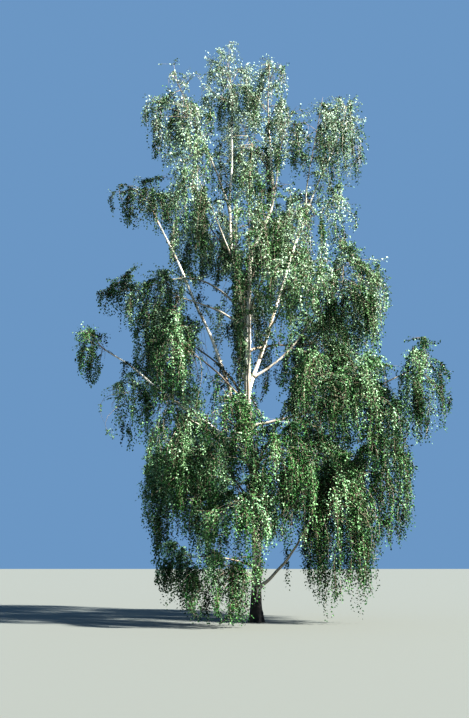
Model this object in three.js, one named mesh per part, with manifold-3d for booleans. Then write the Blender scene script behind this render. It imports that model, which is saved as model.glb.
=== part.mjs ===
// A silver birch about sixteen metres tall, in millimetres, +Z up, with the flat cut under its trunk at the
// origin. The trunk runs from a flared foot to its topmost fork. Leaders and boughs leave it, and each of
// them ends where it enters one mass of foliage. A mass is one solid: a stem that goes on from the bough's
// tip, twigs that arch over the mass's shoulder and hang down its side, and large blades on them that each
// stand for a weeping spray of leaves.
import * as THREE from "three";
import { mergeVertices } from "three/addons/utils/BufferGeometryUtils.js";
import Module from "manifold-3d";

const wasm = await Module();
wasm.setup();

// Trunk: radius above the foot and at the tip, and how the roots swell at the ground.
const TRUNK_RADIUS = 128;
const TRUNK_TIP_RADIUS = 20;
const FOOT_SWELL = 88;
const FOOT_SWELL_HEIGHT = 260;
const ROOT_LOBES = 5;
const ROOT_LOBE_DEPTH = 0.2;
const TRUNK_SIDES = 10;
const TRUNK_RINGS = 15;
const TRUNK_RING_CROWDING = 1.3;
const TRUNK_TAPER_POWER = 0.85;

// Trunk lean: sideways and backward drift of the axis at each height where it changes.
const TRUNK_STATIONS = [
  [0, 0, 0],
  [20, 0, 1800],
  [-30, 10, 3600],
  [-190, 0, 5200],
  [-150, 40, 8400],
  [-60, 20, 9700],
  [470, -60, 11000],
  [480, -140, 12100],
  [410, -260, 13200],
];

// Limbs: how they taper and how finely they are faceted.
const LIMB_TAPER = 0.42;
const LEADER_SIDES = 6;
const BOUGH_SIDES = 5;
const LEADER_RADIUS = 45;
const LEADER_STEPS = 7;
const BOUGH_STEPS = 5;
const FUSED_STEPS = 2;

// Seats: the clear gap where two pieces meet.
const SEAT_GAP = 0.3;
const CUT_GAP = 0.35;
const ROUNDING = 0.001;
const NEAR_ENOUGH = 1e-6;
const NEARLY_SIDEWAYS = 0.9;

// Entry of a bough into its mass, as a part of the way from the mass's centre to its skin, and its lift.
const ENTRY_DEPTH = 0.74;
const ENTRY_LIFT = 0.45;

// Stem, twigs and blades inside a mass.
const STEM_SIDES = 3;
const STEM_STEPS = 2;
const STEM_TOP = 0.5;
const STEM_LEAN_OUT = 0.15;
const STEM_TIP_RADIUS = 22;
const STEM_TURN = 0.45;
const STEM_BLADE_PLACE = 0.98;
const TWIG_COUNT = 3;
const TALL_TWIG_COUNT = 4;
const TALL_MASS_HALF = 1705;
const TWIG_TURN = 1.3;
const TWIG_SIDES = 3;
const TWIG_STEPS = 2;
const TWIG_RADIUS = 16;
const TWIG_TIP_RADIUS = 10;
const TWIG_SKIN = 0.62;
const TWIG_SHOULDERS = [34, 62].map(THREE.MathUtils.degToRad);
const TWIG_HANG = THREE.MathUtils.degToRad(60);
const TWIG_STEM_SPAN = [0.35, 0.9];
const BLADE_LEAST_WIDTH = 240;
const BLADE_WIDTH_OF_LENGTH = 0.44;
const BLADE_THICKNESS = 0.12;
const BLADE_SHOULDER = 0.4;
const BLADE_SKIN = 0.97;
const BLADE_TWIST = 0.4;
const BLADE_TURN_WANDER = 0.5;
const BLADE_SHRINK = 0.88;
const BLADE_TRIES = 5;
const BLADE_SHORTEST = 300;

// Blades of a twig: how far along it each one springs, and by how many degrees below the twig's shoulder it
// reaches the skin.
const BLADES = [
  { place: 0.35, below: -8 },
  { place: 0.6, below: 35 },
  { place: 0.8, below: 75 },
  { place: 0.99, below: 108 },
];
const GOLDEN_ANGLE = Math.PI * (3 - Math.sqrt(5));

// Seeds: one for each mass, and the step between the states of a run of numbers.
const FIRST_SEED = 1000;
const SEED_STEP = 77;
const STATE_STEP = 0x6d2b79f5;
const STATES = 2 ** 32;

// Spaces: masses share the crown by planes between them, and keep clear of those and of every limb.
const SPACE_FLATTENING = 0.5;
const SPACE_MARGIN = 4;
const LIMB_MARGIN = 6;
const NEAREST_TURNS = 6;

// Masses of foliage: centre, and half of the width, depth and height, each swollen a little into its
// neighbours.
const FULLNESS = 1.08;
const MASSES = {
  top_centre: { centre: [-750, 500, 14730], half: [800, 860, 1340] },
  top_right: { centre: [440, -300, 14060], half: [630, 760, 1380] },
  top_left: { centre: [-2100, -500, 13600], half: [920, 850, 1360] },
  top_back: { centre: [-250, 1500, 13000], half: [850, 900, 1450] },
  right_shoulder: { centre: [1000, -700, 12530], half: [640, 750, 1280] },
  right_top: { centre: [1870, -200, 12950], half: [600, 760, 1570] },
  right_top_outer: { centre: [2620, 500, 13200], half: [580, 760, 1400] },
  right_hanging: { centre: [2240, 400, 10820], half: [580, 800, 1160] },
  left_upper: { centre: [-1660, -1000, 10790], half: [710, 800, 1990] },
  left_second: { centre: [-3080, 500, 11330], half: [860, 950, 860] },
  left_back_upper: { centre: [-1430, 1920, 10480], half: [970, 1000, 1590] },
  right_back_upper: { centre: [850, 2000, 10300], half: [850, 950, 1500] },
  centre_upper: { centre: [-140, -1900, 9330], half: [500, 800, 2620] },
  right_upper: { centre: [960, -1100, 9570], half: [800, 900, 1480] },
  left_third_inner: { centre: [-2460, -400, 7940], half: [830, 950, 1490] },
  left_third_outer: { centre: [-3580, 300, 8570], half: [630, 850, 790] },
  far_left: { centre: [-4360, 300, 6990], half: [440, 750, 850] },
  left_back_middle: { centre: [-2350, 2300, 7400], half: [1150, 1150, 1650] },
  back_centre: { centre: [-300, 1500, 7700], half: [740, 900, 2230] },
  left_centre: { centre: [-1980, -1900, 6250], half: [600, 850, 1480] },
  right_middle_inner: { centre: [990, -2000, 7850], half: [870, 900, 1250] },
  right_middle_outer: { centre: [2630, 200, 8450], half: [990, 1050, 1710] },
  right_back_middle: { centre: [2050, 2500, 7000], half: [1200, 1150, 1750] },
  far_right: { centre: [4390, -300, 5930], half: [680, 900, 1430] },
  left_curtain_outer: { centre: [-3300, -300, 5480], half: [640, 850, 1100] },
  left_curtain_inner: { centre: [-2210, -700, 4680], half: [760, 850, 1700] },
  front_centre: { centre: [-650, -2700, 4410], half: [720, 850, 1340] },
  right_low_inner: { centre: [1400, -1700, 5390], half: [820, 900, 1480] },
  right_low_outer: { centre: [2880, -700, 5270], half: [980, 1000, 1660] },
  front_right_low: { centre: [620, -2600, 3360], half: [740, 850, 1630] },
  left_back_low: { centre: [-1900, 2300, 4300], half: [1200, 1150, 1550] },
  right_back_low: { centre: [1900, 2400, 3700], half: [1200, 1150, 1600] },
  right_skirt: { centre: [3320, 500, 3560], half: [820, 950, 1680] },
  right_bottom: { centre: [2110, -700, 2320], half: [980, 950, 2080] },
  front_low: { centre: [-440, -2900, 2500], half: [920, 850, 1000] },
  left_low: { centre: [-1810, -100, 2950], half: [1050, 1000, 1480] },
  left_foot: { centre: [-1910, -900, 1320], half: [600, 750, 900] },
  front_foot: { centre: [-820, -2000, 960], half: [950, 850, 900] },
};

// Limbs: what each leaves, at which height, the mass it enters, its radius where it starts, and how far it
// bows above the straight line between its ends (below it where negative). A limb with no name of its own is
// fused to its mass.
const LIMBS = [
  { name: "left_leader", from: "trunk", at: 7200, into: "top_centre", radius: 62, bow: -300 },
  { name: "right_leader", from: "trunk", at: 5800, into: "right_top_outer", radius: 50, bow: 100 },
  { name: "left_stem", from: "trunk", at: 3060, into: "left_second", radius: 58, bow: 330 },
  { name: "second_stem", from: "trunk", at: 4900, into: "centre_upper", radius: 42, bow: -60 },
  { name: "top_left_bough", from: "left_leader", at: 11000, into: "top_left", radius: 30, bow: 60 },
  { name: "right_fork", from: "trunk", at: 10800, into: "right_shoulder", radius: 30, bow: -60 },
  { name: "right_top_bough", from: "right_leader", at: 10900, into: "right_top", radius: 28, bow: 60 },
  {
    name: "right_hanging_bough", from: "right_leader", at: 10300,
    into: "right_hanging", radius: 28, bow: 80,
  },
  { name: "left_upper_bough", from: "left_leader", at: 9300, into: "left_upper", radius: 32, bow: 60 },
  {
    name: "left_middle_bough", from: "left_leader", at: 7600,
    into: "left_third_inner", radius: 36, bow: 120,
  },
  { name: "left_outer_bough", from: "left_leader", at: 7900, into: "left_third_outer", radius: 30, bow: 700 },
  { name: "long_left_bough", from: "left_stem", at: 4200, into: "far_left", radius: 46, bow: 40 },
  {
    name: "curtain_bough", from: "long_left_bough", at: 5200,
    into: "left_curtain_outer", radius: 26, bow: 150,
  },
  { name: "left_inner_bough", from: "left_stem", at: 3900, into: "left_curtain_inner", radius: 34, bow: 120 },
  { name: "middle_bough", from: "right_leader", at: 6300, into: "right_middle_outer", radius: 36, bow: -250 },
  {
    name: "right_front_bough", from: "right_leader", at: 6800,
    into: "right_middle_inner", radius: 36, bow: 90,
  },
  { name: "long_right_bough", from: "trunk", at: 5000, into: "far_right", radius: 42, bow: -150 },
  { name: "right_low_bough", from: "trunk", at: 3900, into: "right_low_outer", radius: 40, bow: 90 },
  { name: "right_skirt_bough", from: "trunk", at: 1900, into: "right_skirt", radius: 42, bow: 320 },
  { name: "lowest_right_bough", from: "trunk", at: 800, into: "right_bottom", radius: 44, bow: -160 },
  { name: "left_low_bough", from: "trunk", at: 2600, into: "left_low", radius: 32, bow: 90 },
  { from: "trunk", at: 11700, into: "top_back", radius: 26, bow: 60 },
  { from: "trunk", at: 8600, into: "left_back_upper", radius: 32, bow: 90 },
  { from: "trunk", at: 8900, into: "right_back_upper", radius: 30, bow: 90 },
  { from: "trunk", at: 7900, into: "right_upper", radius: 30, bow: 60 },
  { from: "trunk", at: 6600, into: "back_centre", radius: 32, bow: 120 },
  { from: "trunk", at: 5600, into: "left_back_middle", radius: 36, bow: 150 },
  { from: "trunk", at: 7000, into: "right_back_middle", radius: 36, bow: 60 },
  { from: "trunk", at: 5500, into: "left_centre", radius: 32, bow: 120 },
  { from: "trunk", at: 3700, into: "right_low_inner", radius: 32, bow: 120 },
  { from: "trunk", at: 3200, into: "front_centre", radius: 30, bow: 120 },
  { from: "trunk", at: 2900, into: "front_right_low", radius: 30, bow: 150 },
  { from: "trunk", at: 2700, into: "left_back_low", radius: 34, bow: 180 },
  { from: "trunk", at: 2300, into: "right_back_low", radius: 34, bow: 180 },
  { from: "trunk", at: 1700, into: "front_low", radius: 28, bow: 120 },
  { from: "trunk", at: 1300, into: "left_foot", radius: 26, bow: 120 },
  { from: "trunk", at: 900, into: "front_foot", radius: 28, bow: 120 },
];

// Colours.
const WHITE_BARK = 0xd9d4c6;
const GREY_BARK = 0x8f887a;
const LEAF_GREENS = [0x7f9a4a, 0x6f8c43, 0x8ba553, 0x64803c];

const bark = new THREE.MeshStandardMaterial({ color: WHITE_BARK, roughness: 0.75, metalness: 0 });
const boughBark = new THREE.MeshStandardMaterial({ color: GREY_BARK, roughness: 0.85, metalness: 0 });
const foliage = LEAF_GREENS.map(
  (color) => new THREE.MeshStandardMaterial({ color, roughness: 0.6, metalness: 0 }),
);

const UP = new THREE.Vector3(0, 0, 1);

// Geometry in and out of solids.
function closed(geometry) {
  geometry.deleteAttribute("normal");
  geometry.deleteAttribute("uv");
  return mergeVertices(geometry);
}

function solidOf(geometry) {
  return new wasm.Manifold(new wasm.Mesh({
    numProp: 3,
    vertProperties: new Float32Array(geometry.getAttribute("position").array),
    triVerts: new Uint32Array(geometry.getIndex().array),
  }));
}

function geometryOf(solid) {
  const mesh = solid.getMesh();
  const geometry = new THREE.BufferGeometry();
  geometry.setAttribute("position", new THREE.BufferAttribute(new Float32Array(mesh.vertProperties), 3));
  geometry.setIndex(new THREE.BufferAttribute(new Uint32Array(mesh.triVerts), 1));
  geometry.computeVertexNormals();
  return geometry;
}

function largestPiece(solid) {
  const pieces = solid.decompose();
  return pieces.reduce((best, piece) => (piece.volume() > best.volume() ? piece : best));
}

// True where every edge still has two faces once the corners are rounded, so that no slit or pinch is left.
function hasCleanSkin(solid) {
  const { vertProperties, triVerts } = solid.getMesh();
  const faces = new Map();
  const corner = (index) => vertProperties.slice(3 * index, 3 * index + 3)
    .reduce((name, value) => `${name}${Math.round(value / ROUNDING)} `, "");
  for (let first = 0; first < triVerts.length; first += 3) {
    const names = [0, 1, 2].map((step) => corner(triVerts[first + step]));
    if (new Set(names).size === 3) {
      names.forEach((name, step) => {
        const edge = [name, names[(step + 1) % 3]].sort().join("/");
        faces.set(edge, (faces.get(edge) ?? 0) + 1);
      });
    }
  }
  return [...faces.values()].every((count) => count === 2);
}

// Join that leaves an addition out where it would spoil the skin.
function cleanlyJoined(whole, addition) {
  const joined = whole.add(addition);
  return hasCleanSkin(joined) ? joined : whole;
}

// A seeded run of numbers from 0 to 1.
function seeded(seed) {
  let state = seed >>> 0;
  return () => {
    state = (state + STATE_STEP) >>> 0;
    let mixed = Math.imul(state ^ (state >>> 15), 1 | state);
    mixed = (mixed + Math.imul(mixed ^ (mixed >>> 7), 61 | mixed)) ^ mixed;
    return ((mixed ^ (mixed >>> 14)) >>> 0) / STATES;
  };
}

// A closed tube through rings, each with a centre, a direction along the tube and a radius.
function tubeThrough(rings, sides, radiusAt = (ring) => ring.radius) {
  const tube = closed(new THREE.CylinderGeometry(1, 1, 1, sides, rings.length - 1));
  const sideways = Math.abs(rings[0].along.x) > NEARLY_SIDEWAYS;
  const across = sideways ? new THREE.Vector3(0, 1, 0) : new THREE.Vector3(1, 0, 0);
  const frames = rings.map((ring) => {
    across.addScaledVector(ring.along, -across.dot(ring.along)).normalize();
    const side = across.clone().cross(ring.along);
    return { ring, across: across.clone(), side };
  });
  const place = tube.getAttribute("position");
  const local = new THREE.Vector3();
  for (let vertex = 0; vertex < place.count; vertex += 1) {
    local.fromBufferAttribute(place, vertex);
    const frame = frames[Math.round((local.y + 0.5) * (rings.length - 1))];
    const radius = radiusAt(frame.ring, Math.atan2(local.z, local.x));
    const point = frame.ring.centre.clone()
      .addScaledVector(frame.across, local.x * radius)
      .addScaledVector(frame.side, local.z * radius);
    place.setXYZ(vertex, point.x, point.y, point.z);
  }
  return solidOf(tube);
}

function pointAtHeight(path, height) {
  let low = 0;
  let high = 1;
  while (high - low > NEAR_ENOUGH) {
    const middle = (low + high) / 2;
    if (path.getPoint(middle).z < height) {
      low = middle;
    } else {
      high = middle;
    }
  }
  return path.getPoint(low);
}

// Trunk: level rings, so that its foot is cut flat at the ground, crowded toward the foot where it swells.
const trunkPath = new THREE.CatmullRomCurve3(
  TRUNK_STATIONS.map((station) => new THREE.Vector3(...station)), false, "catmullrom",
);
const TRUNK_HEIGHT = TRUNK_STATIONS.at(-1)[2];

function trunkRadius(height) {
  const left = 1 - height / TRUNK_HEIGHT;
  const taper = TRUNK_TIP_RADIUS + (TRUNK_RADIUS - TRUNK_TIP_RADIUS) * left ** TRUNK_TAPER_POWER;
  return taper + FOOT_SWELL * Math.exp(-height / FOOT_SWELL_HEIGHT);
}

function trunkRings(extra) {
  return Array.from({ length: TRUNK_RINGS + 1 }, (_, index) => {
    const height = TRUNK_HEIGHT * (index / TRUNK_RINGS) ** TRUNK_RING_CROWDING;
    const centre = pointAtHeight(trunkPath, height).setZ(height);
    return { centre, along: UP, radius: trunkRadius(height) + extra };
  });
}

function rootLobing(ring, angle) {
  const depth = ROOT_LOBE_DEPTH * Math.exp(-ring.centre.z / FOOT_SWELL_HEIGHT);
  return ring.radius * (1 + depth * Math.cos(ROOT_LOBES * angle));
}

// Limbs: a single curve from the axis of what carries it to the point where it enters its mass.
function entryOf(mass, start) {
  const inward = start.clone().sub(mass.centre).divide(mass.half).normalize();
  inward.z += ENTRY_LIFT;
  return inward.normalize().multiplyScalar(ENTRY_DEPTH).multiply(mass.half).add(mass.centre);
}

function bowedPath(start, end, bow) {
  const chord = end.clone().sub(start).normalize();
  const above = UP.clone().addScaledVector(chord, -UP.dot(chord)).normalize();
  const middle = start.clone().lerp(end, 0.5).addScaledVector(above, 2 * bow);
  return new THREE.QuadraticBezierCurve3(start, middle, end);
}

function ringsAlong(path, steps, startRadius, endRadius) {
  return Array.from({ length: steps + 1 }, (_, index) => {
    const part = index / steps;
    return {
      centre: path.getPoint(part),
      along: path.getTangent(part),
      radius: startRadius + (endRadius - startRadius) * part,
    };
  });
}

// Point on the straight runs between rings, by part of the way along them or by height.
function onRings(rings, part) {
  const place = part * (rings.length - 1);
  const index = Math.min(Math.floor(place), rings.length - 2);
  return rings[index].centre.clone().lerp(rings[index + 1].centre, place - index);
}

function onRingsAtHeight(rings, height) {
  const index = rings.findIndex((ring) => ring.centre.z > height);
  const [below, above] = [rings[index - 1].centre, rings[index].centre];
  return below.clone().lerp(above, (height - below.z) / (above.z - below.z));
}

function limbSides(limb) {
  return limb.radius > LEADER_RADIUS ? LEADER_SIDES : BOUGH_SIDES;
}

function limbSteps(spec) {
  if (!spec.name) {
    return FUSED_STEPS;
  }
  return spec.radius > LEADER_RADIUS ? LEADER_STEPS : BOUGH_STEPS;
}

function grownLimb(spec, limbs, masses) {
  const parent = limbs[spec.from];
  const start = onRingsAtHeight(parent.rings, spec.at);
  const mass = masses[spec.into];
  const path = bowedPath(start, entryOf(mass, start), spec.bow);
  const rings = ringsAlong(path, limbSteps(spec), spec.radius, spec.radius * LIMB_TAPER);
  return { ...spec, parent, rings, tip: rings.at(-1) };
}

function limbSolid(limb, extra = 0) {
  if (limb.name === "trunk") {
    return tubeThrough(trunkRings(extra), TRUNK_SIDES, rootLobing);
  }
  const rings = limb.rings.map((ring) => ({ ...ring, radius: ring.radius + extra }));
  return tubeThrough(rings, limbSides(limb));
}

function seatedOn(parent, solid) {
  return largestPiece(solid.subtract(limbSolid(parent, CUT_GAP)));
}

// Spaces: a point is in a mass's space where it lies inside the mass's ellipsoid and on its own side of the
// plane to each other mass.
function power(mass, point) {
  const away = point.clone().sub(mass.centre);
  away.z *= SPACE_FLATTENING;
  return away.lengthSq() - mass.reach ** 2;
}

function inSpace(mass, point, masses) {
  if (point.z < SPACE_MARGIN || point.clone().sub(mass.centre).divide(mass.half).length() > 1) {
    return false;
  }
  return Object.values(masses).every((other) => {
    if (other === mass) {
      return true;
    }
    const between = other.centre.clone().sub(mass.centre);
    between.z *= SPACE_FLATTENING ** 2;
    return power(other, point) - power(mass, point) > 2 * SPACE_MARGIN * between.length();
  });
}

// Distance between two segments, found by closing in on the nearest pair of points in turn.
function nearestPart(start, end, point) {
  const run = end.clone().sub(start);
  const part = point.clone().sub(start).dot(run) / Math.max(run.lengthSq(), NEAR_ENOUGH);
  return start.clone().addScaledVector(run, THREE.MathUtils.clamp(part, 0, 1));
}

function segmentGap(startA, endA, startB, endB) {
  const line = startA.clone().lerp(endA, 0.5);
  let onB = nearestPart(startB, endB, line);
  let onA = nearestPart(startA, endA, onB);
  for (let turn = 0; turn < NEAREST_TURNS; turn += 1) {
    onB = nearestPart(startB, endB, onA);
    onA = nearestPart(startA, endA, onB);
  }
  return onA.distanceTo(onB);
}

function touchesLimb(start, end, radius, obstacles) {
  return obstacles.some((rings) => rings.some((ring, index) => {
    if (index === 0) {
      return false;
    }
    const before = rings[index - 1];
    const clear = radius + Math.max(ring.radius, before.radius) + LIMB_MARGIN;
    return segmentGap(start, end, before.centre, ring.centre) < clear;
  }));
}

// Stem of a mass: from its bough's tip up through the mass to its shoulder.
function stemRings(mass, limb) {
  const start = limb.tip.centre.clone().addScaledVector(limb.tip.along, limb.name ? SEAT_GAP : 0);
  const outward = mass.centre.clone().sub(start).setZ(0);
  const top = mass.centre.clone().addScaledVector(UP, STEM_TOP * mass.half.z)
    .addScaledVector(outward, STEM_LEAN_OUT);
  const turn = start.clone().addScaledVector(limb.tip.along, start.distanceTo(top) * STEM_TURN);
  const path = new THREE.QuadraticBezierCurve3(start, turn, top);
  return { rings: ringsAlong(path, STEM_STEPS, limb.tip.radius, STEM_TIP_RADIUS) };
}

// Point on a mass's inner skin, at an angle from its top and round it.
function onSkin(mass, polar, round, depth) {
  const sideways = Math.sin(polar);
  return new THREE.Vector3(sideways * Math.cos(round), sideways * Math.sin(round), Math.cos(polar))
    .multiplyScalar(depth).multiply(mass.half).add(mass.centre);
}

// Twig: leaves the stem, arches to the shoulder of the mass and hangs down its side.
function grownTwig(mass, index, random) {
  const share = (index + 0.5) / mass.twigs;
  const polar = THREE.MathUtils.lerp(...TWIG_SHOULDERS, share);
  const round = index * GOLDEN_ANGLE + mass.turn;
  const [low, high] = TWIG_STEM_SPAN;
  const start = onRings(mass.stem.rings, high - (high - low) * share);
  const shoulder = onSkin(mass, polar, round, TWIG_SKIN);
  const end = onSkin(mass, polar + TWIG_HANG, round, TWIG_SKIN);
  const turn = shoulder.clone().multiplyScalar(2).sub(start.clone().lerp(end, 0.5));
  const path = new THREE.QuadraticBezierCurve3(start, turn, end);
  const rings = ringsAlong(path, TWIG_STEPS, TWIG_RADIUS, TWIG_TIP_RADIUS);
  const blades = BLADES.map(({ place, below }) => ({
    root: onRings(rings, place),
    tip: onSkin(
      mass,
      polar + THREE.MathUtils.degToRad(below),
      round + (2 * random() - 1) * BLADE_TURN_WANDER,
      BLADE_SKIN,
    ),
  }));
  return { rings, blades };
}

function bladeWidth(length) {
  return BLADE_LEAST_WIDTH + BLADE_WIDTH_OF_LENGTH * length;
}

// Blade: six faces, flat on the outside and keeled under its midrib, widest nearer its root.
function bladeGeometry(root, along, facing, length) {
  const wide = facing.clone().cross(along).normalize();
  const keel = wide.clone().cross(along);
  const shoulder = root.clone().addScaledVector(along, length * BLADE_SHOULDER);
  const places = [
    root,
    shoulder.clone().addScaledVector(wide, bladeWidth(length) / 2),
    shoulder.clone().addScaledVector(wide, -bladeWidth(length) / 2),
    shoulder.clone().addScaledVector(keel, length * BLADE_THICKNESS),
    root.clone().addScaledVector(along, length),
  ];
  const blade = new THREE.BufferGeometry().setFromPoints(places);
  blade.setIndex([0, 2, 1, 0, 1, 3, 0, 3, 2, 4, 1, 2, 4, 3, 1, 4, 2, 3]);
  return blade;
}

function corners(geometry) {
  const place = geometry.getAttribute("position");
  return Array.from(
    { length: place.count },
    (_, vertex) => new THREE.Vector3().fromBufferAttribute(place, vertex),
  );
}

function wander(random, reach) {
  return new THREE.Vector3(2 * random() - 1, 2 * random() - 1, 2 * random() - 1).multiplyScalar(reach);
}

function fittingBlade(mass, root, tip, random, masses, obstacles) {
  const outward = root.clone().sub(mass.centre).setZ(0).normalize();
  const along = tip.clone().sub(root).normalize();
  let length = root.distanceTo(tip);
  for (let attempt = 0; attempt < BLADE_TRIES && length > BLADE_SHORTEST; attempt += 1) {
    const facing = outward.clone().add(wander(random, BLADE_TWIST));
    const blade = bladeGeometry(root, along, facing, length);
    const end = root.clone().addScaledVector(along, length);
    const clearOfLimbs = !touchesLimb(root, end, bladeWidth(length) / 2, obstacles);
    if (clearOfLimbs && corners(blade).every((corner) => inSpace(mass, corner, masses))) {
      return solidOf(blade);
    }
    length *= BLADE_SHRINK;
  }
  return null;
}

function staysClear(mass, rings, masses, obstacles) {
  return rings.every((ring, step) => (
    inSpace(mass, ring.centre, masses)
    && (step === 0 || !touchesLimb(rings[step - 1].centre, ring.centre, TWIG_RADIUS, obstacles))
  ));
}

// Mass: stem, twigs and blades fused into one solid.
function grownMass(mass, limb, masses, obstacles) {
  const random = seeded(mass.seed);
  const { stem } = mass;
  const own = limb.name ? [stem.rings] : [stem.rings, limb.rings];
  const others = obstacles.filter((rings) => !own.includes(rings));
  let whole = limb.name
    ? tubeThrough(stem.rings, STEM_SIDES)
    : seatedOn(limb.parent, tubeThrough([...limb.rings, ...stem.rings.slice(1)], STEM_SIDES));
  const hangBlade = ({ root, tip }) => {
    const blade = fittingBlade(mass, root, tip, random, masses, others);
    whole = blade ? cleanlyJoined(whole, blade) : whole;
  };
  hangBlade({ root: onRings(stem.rings, STEM_BLADE_PLACE), tip: onSkin(mass, 0, 0, BLADE_SKIN) });
  for (let index = 0; index < mass.twigs; index += 1) {
    const twig = grownTwig(mass, index, random);
    if (staysClear(mass, twig.rings, masses, others)) {
      const before = whole;
      whole = cleanlyJoined(whole, tubeThrough(twig.rings, TWIG_SIDES));
      if (whole !== before) {
        twig.blades.forEach(hangBlade);
      }
    }
  }
  return largestPiece(whole);
}

// Masses with their vectors, then limbs in order, so that each finds what carries it.
const masses = {};
Object.entries(MASSES).forEach(([name, { centre, half }], index) => {
  masses[name] = {
    name,
    centre: new THREE.Vector3(...centre),
    half: new THREE.Vector3(...half).multiplyScalar(FULLNESS),
    reach: FULLNESS * (half[0] + half[1]) / 2,
    twigs: half[2] < TALL_MASS_HALF ? TWIG_COUNT : TALL_TWIG_COUNT,
    turn: index * TWIG_TURN,
    seed: FIRST_SEED + SEED_STEP * index,
  };
});

const trunk = { name: "trunk", rings: trunkRings(0), radius: TRUNK_RADIUS, into: "top_right" };
trunk.tip = trunk.rings.at(-1);
const limbs = { trunk };
for (const spec of LIMBS) {
  limbs[spec.name ?? spec.into] = grownLimb(spec, limbs, masses);
}
for (const limb of Object.values(limbs)) {
  masses[limb.into].stem = stemRings(masses[limb.into], limb);
}
const obstacles = [
  ...Object.values(limbs).map((limb) => limb.rings),
  ...Object.values(masses).map((mass) => mass.stem.rings),
];

// The tree.
const tree = new THREE.Group();

function addPiece(name, solid, material) {
  const mesh = new THREE.Mesh(geometryOf(solid), material);
  mesh.name = name;
  tree.add(mesh);
}

for (const limb of Object.values(limbs)) {
  if (limb === trunk) {
    addPiece("trunk", limbSolid(trunk), bark);
  } else if (limb.name) {
    const limbBark = limb.radius > LEADER_RADIUS ? bark : boughBark;
    addPiece(limb.name, seatedOn(limb.parent, limbSolid(limb)), limbBark);
  }
}
Object.values(limbs).forEach((limb, index) => {
  const mass = masses[limb.into];
  addPiece(`${limb.into}_foliage`, grownMass(mass, limb, masses, obstacles), foliage[index % foliage.length]);
});

export default tree;
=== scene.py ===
import math

import bpy
import numpy as np
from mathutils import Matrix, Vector


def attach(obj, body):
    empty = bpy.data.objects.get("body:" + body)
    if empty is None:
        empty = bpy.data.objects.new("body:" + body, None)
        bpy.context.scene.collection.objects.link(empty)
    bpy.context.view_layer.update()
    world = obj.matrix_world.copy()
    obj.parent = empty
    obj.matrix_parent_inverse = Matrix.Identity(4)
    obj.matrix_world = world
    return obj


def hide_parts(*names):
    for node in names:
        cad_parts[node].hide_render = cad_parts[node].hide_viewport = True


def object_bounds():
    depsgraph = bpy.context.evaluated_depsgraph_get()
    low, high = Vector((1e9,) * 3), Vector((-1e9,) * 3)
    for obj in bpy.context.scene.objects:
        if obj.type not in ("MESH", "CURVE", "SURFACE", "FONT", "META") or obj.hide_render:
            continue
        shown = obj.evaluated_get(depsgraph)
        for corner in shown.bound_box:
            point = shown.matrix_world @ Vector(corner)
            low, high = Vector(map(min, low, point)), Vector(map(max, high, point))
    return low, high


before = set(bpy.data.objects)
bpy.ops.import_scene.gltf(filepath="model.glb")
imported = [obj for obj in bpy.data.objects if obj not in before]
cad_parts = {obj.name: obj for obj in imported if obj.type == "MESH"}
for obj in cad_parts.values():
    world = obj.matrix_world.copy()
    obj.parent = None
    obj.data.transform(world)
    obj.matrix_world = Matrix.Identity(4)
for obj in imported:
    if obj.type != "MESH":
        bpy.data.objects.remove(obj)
cad_low, cad_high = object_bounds()

# Camera: the photograph's place and angle.
CAMERA_PLACE = (-0.54, -26.0, 1.6)
CAMERA_TILT = math.radians(11.26)
LENS_MM = 50
SENSOR_MM = 36

camera = bpy.data.objects.new("camera", bpy.data.cameras.new("camera"))
camera.location = CAMERA_PLACE
camera.rotation_euler = (math.pi / 2 + CAMERA_TILT, 0, 0)
camera.data.lens = LENS_MM
camera.data.sensor_width = SENSOR_MM
bpy.context.scene.collection.objects.link(camera)
bpy.context.scene.camera = camera

# Trunk: the axis drifts sideways and backward at these heights.
TRUNK_STATIONS = [
    (0.00, 0.00, 0.0),
    (0.02, 0.00, 1.8),
    (-0.03, 0.01, 3.6),
    (-0.19, 0.00, 5.2),
    (-0.15, 0.04, 8.4),
    (-0.06, 0.02, 9.7),
    (0.47, -0.06, 11.0),
    (0.48, -0.14, 12.1),
    (0.41, -0.26, 13.2),
]
TRUNK_RADIUS = 0.128
TRUNK_TIP_RADIUS = 0.020
TRUNK_TAPER_POWER = 0.85
FOOT_SWELL = 0.088
FOOT_SWELL_HEIGHT = 0.26
ROOT_LOBES = 5
ROOT_LOBE_DEPTH = 0.2
LIMB_TAPER = 0.42
LEADER_RADIUS = 0.045
AXIS_STEPS = 40
LIMB_WANDER = 0.008
WANDER_WAVES = (2, 3, 5, 8)

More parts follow.
